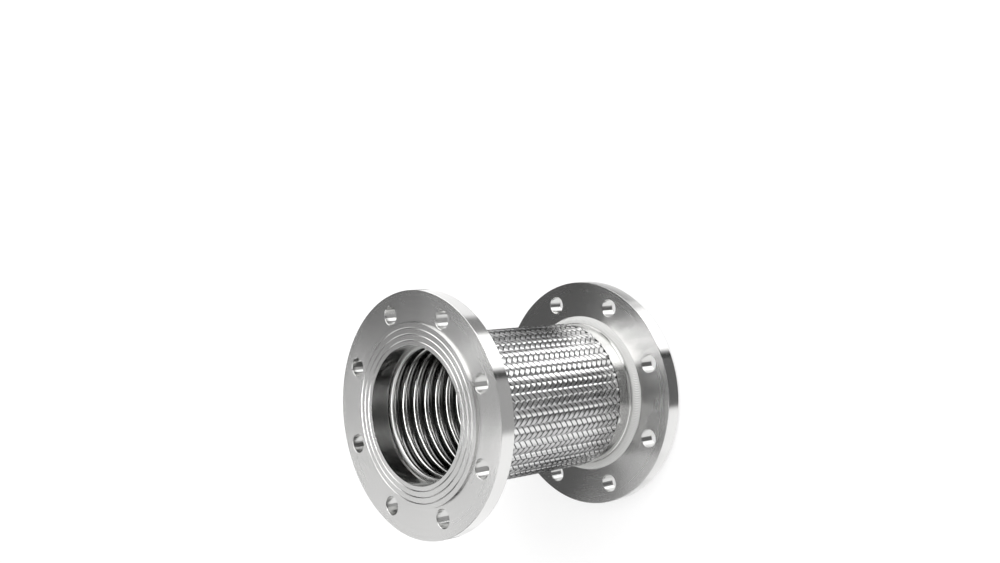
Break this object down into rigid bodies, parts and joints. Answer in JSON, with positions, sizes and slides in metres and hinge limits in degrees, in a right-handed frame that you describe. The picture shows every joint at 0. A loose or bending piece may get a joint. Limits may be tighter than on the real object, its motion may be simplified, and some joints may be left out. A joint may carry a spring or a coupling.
{
  "type": "flanged metal hose",
  "caption": "Short braided metal hose: a corrugated steel tube in a woven steel sleeve, with a drilled raised-face flange welded to each end.",
  "frame": {"origin": "centre of the lower raised face, where the hose stands", "axes": "+Z along the hose, from the lower raised face to the upper one; the first bolt hole lies 22.5 degrees from +X towards +Y"},
  "size_m": [0.285, 0.285, 0.3],
  "materials": {
    "flange_steel": "fine turned, satin",
    "ring_steel": "turned, satin",
    "weld_steel": "rippled weld bead, pickled pale",
    "bellows_steel": "bright rolled sheet",
    "braid_steel": "drawn wire strips, bright"
  },
  "bodies": {
    "root": {"bottom_flange": "flange_steel", "top_flange": "flange_steel", "bottom_stub_ring": "ring_steel", "top_stub_ring": "ring_steel", "bottom_flange_weld": "weld_steel", "top_flange_weld": "weld_steel", "bottom_collar": "ring_steel", "top_collar": "ring_steel", "bottom_collar_weld": "weld_steel", "top_collar_weld": "weld_steel", "bottom_seal_weld": "weld_steel", "top_seal_weld": "weld_steel", "bellows": "bellows_steel", "braid": "braid_steel"}
  },
  "joints": []
}
